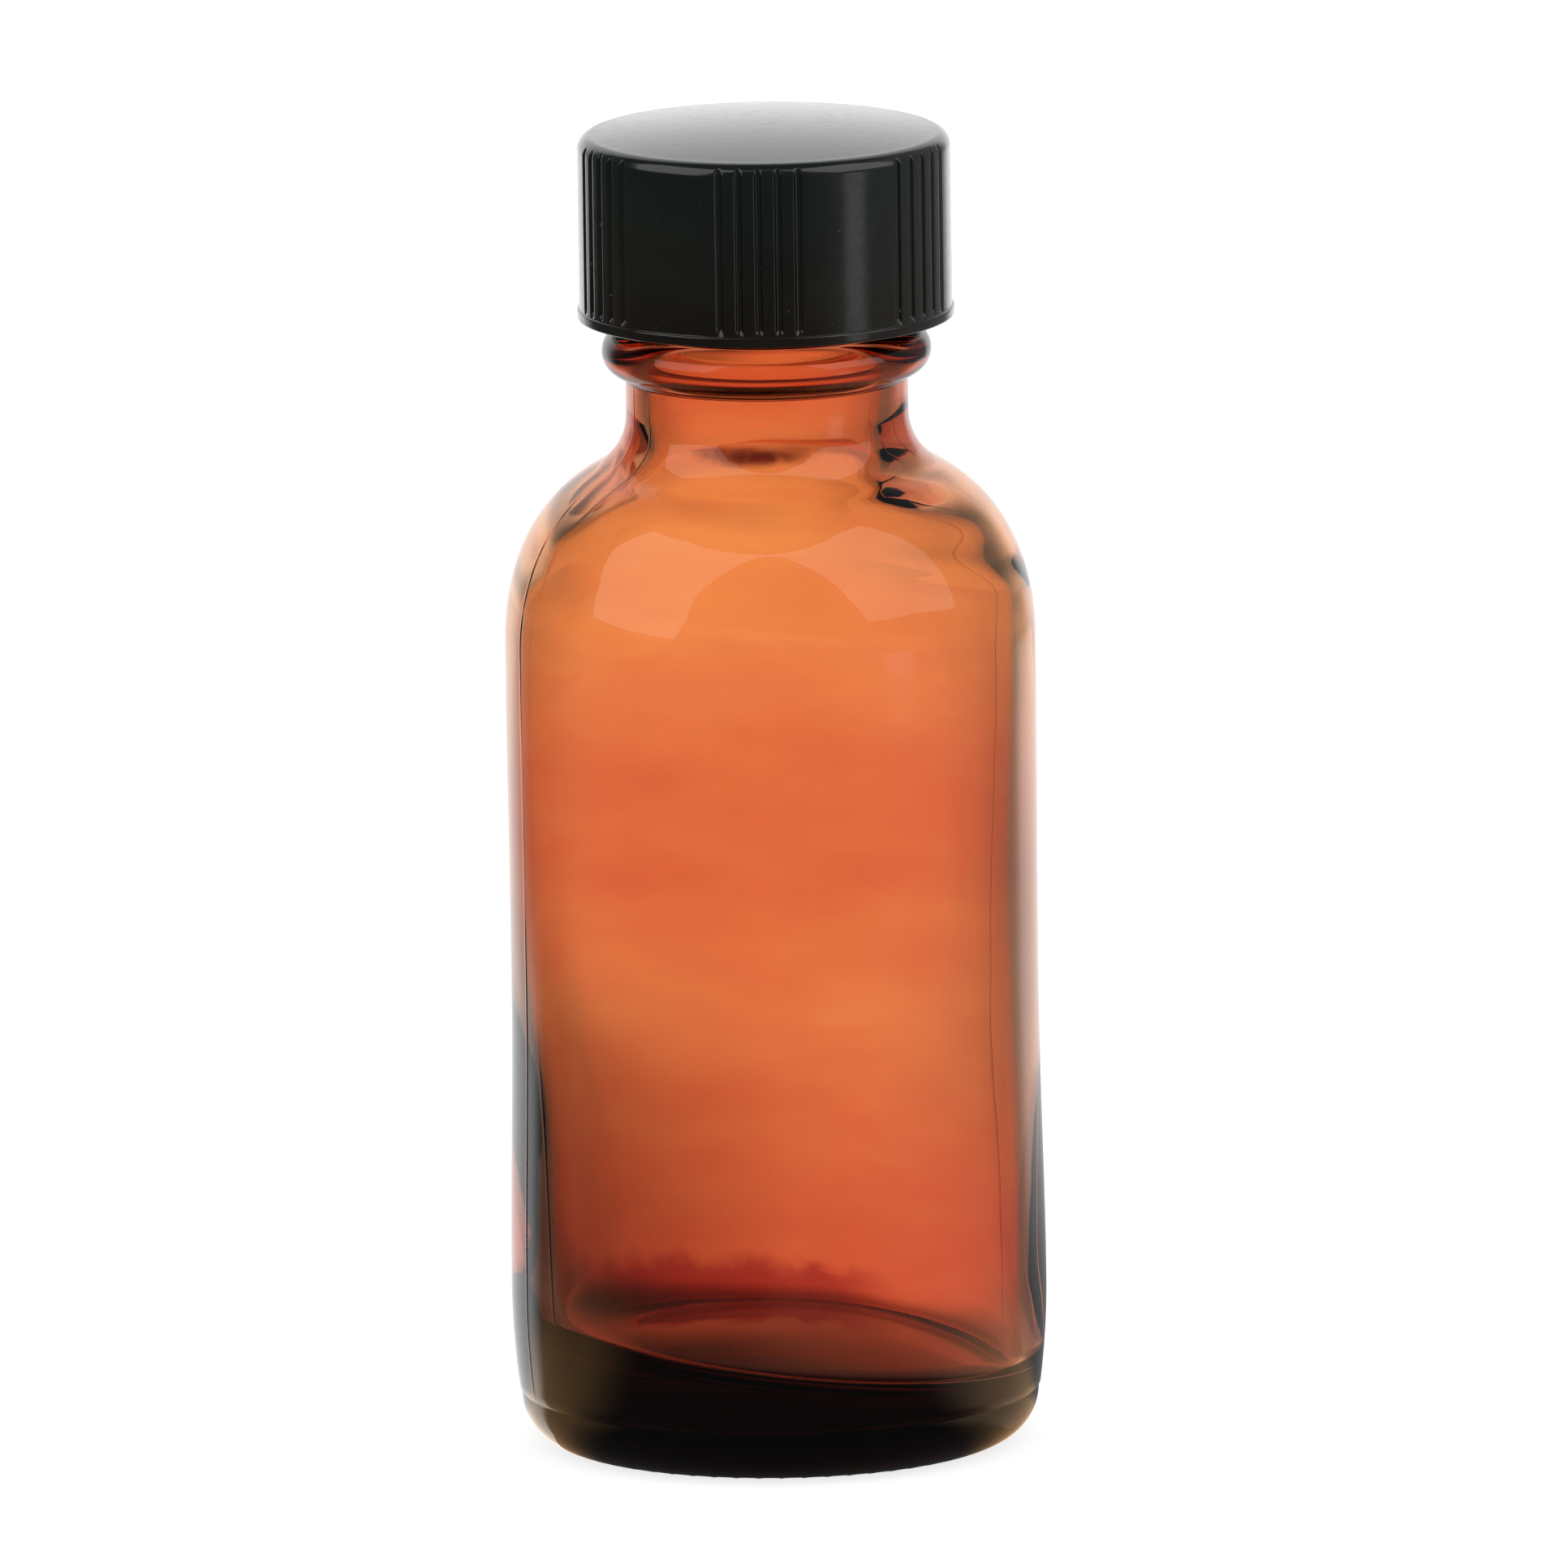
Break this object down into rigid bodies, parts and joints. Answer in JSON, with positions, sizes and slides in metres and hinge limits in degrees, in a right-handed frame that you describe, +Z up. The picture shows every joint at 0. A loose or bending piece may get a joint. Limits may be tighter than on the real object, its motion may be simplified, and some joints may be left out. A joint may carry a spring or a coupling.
{
  "type": "reagent bottle",
  "caption": "Small round amber glass reagent bottle with a round shoulder, narrow neck, ribbed black screw cap and a disc liner that seals the mouth.",
  "frame": {"origin": "centre of the standing ring, on the surface that the bottle stands on", "axes": "+Z up along the bottle's axis, out of the mouth; -Y towards the viewer, +X to the viewer's right"},
  "size_m": [0.033, 0.033, 0.0824],
  "materials": {
    "amber_glass": "smooth, clear amber soda-lime glass, colour in the whole wall",
    "phenolic": "satin black moulded thermoset, slightly polished on the panels",
    "pulpboard": "pressed grey-buff pulpboard, matt",
    "liner_film": "off-white film, satin"
  },
  "bodies": {
    "bottle": {"bottle": "amber_glass"},
    "liner": {"liner_facing": "liner_film", "liner_backing": "pulpboard"},
    "cap": {"cap": "phenolic"}
  },
  "joints": [
    {"name": "cap_lift", "type": "slide", "parent": "bottle", "child": "liner", "axis": [0, 0, 1], "range_m": [0, 0.0127]},
    {"name": "cap_turn", "type": "hinge", "parent": "liner", "child": "cap", "pos_m": [0, 0, 0.0757], "axis": [0, 0, 1], "range_deg": [0, 1440]}
  ],
  "couplings": [
    {"joint": "cap_lift", "follows": "cap_turn", "m_per_rad": 0.00050531}
  ]
}
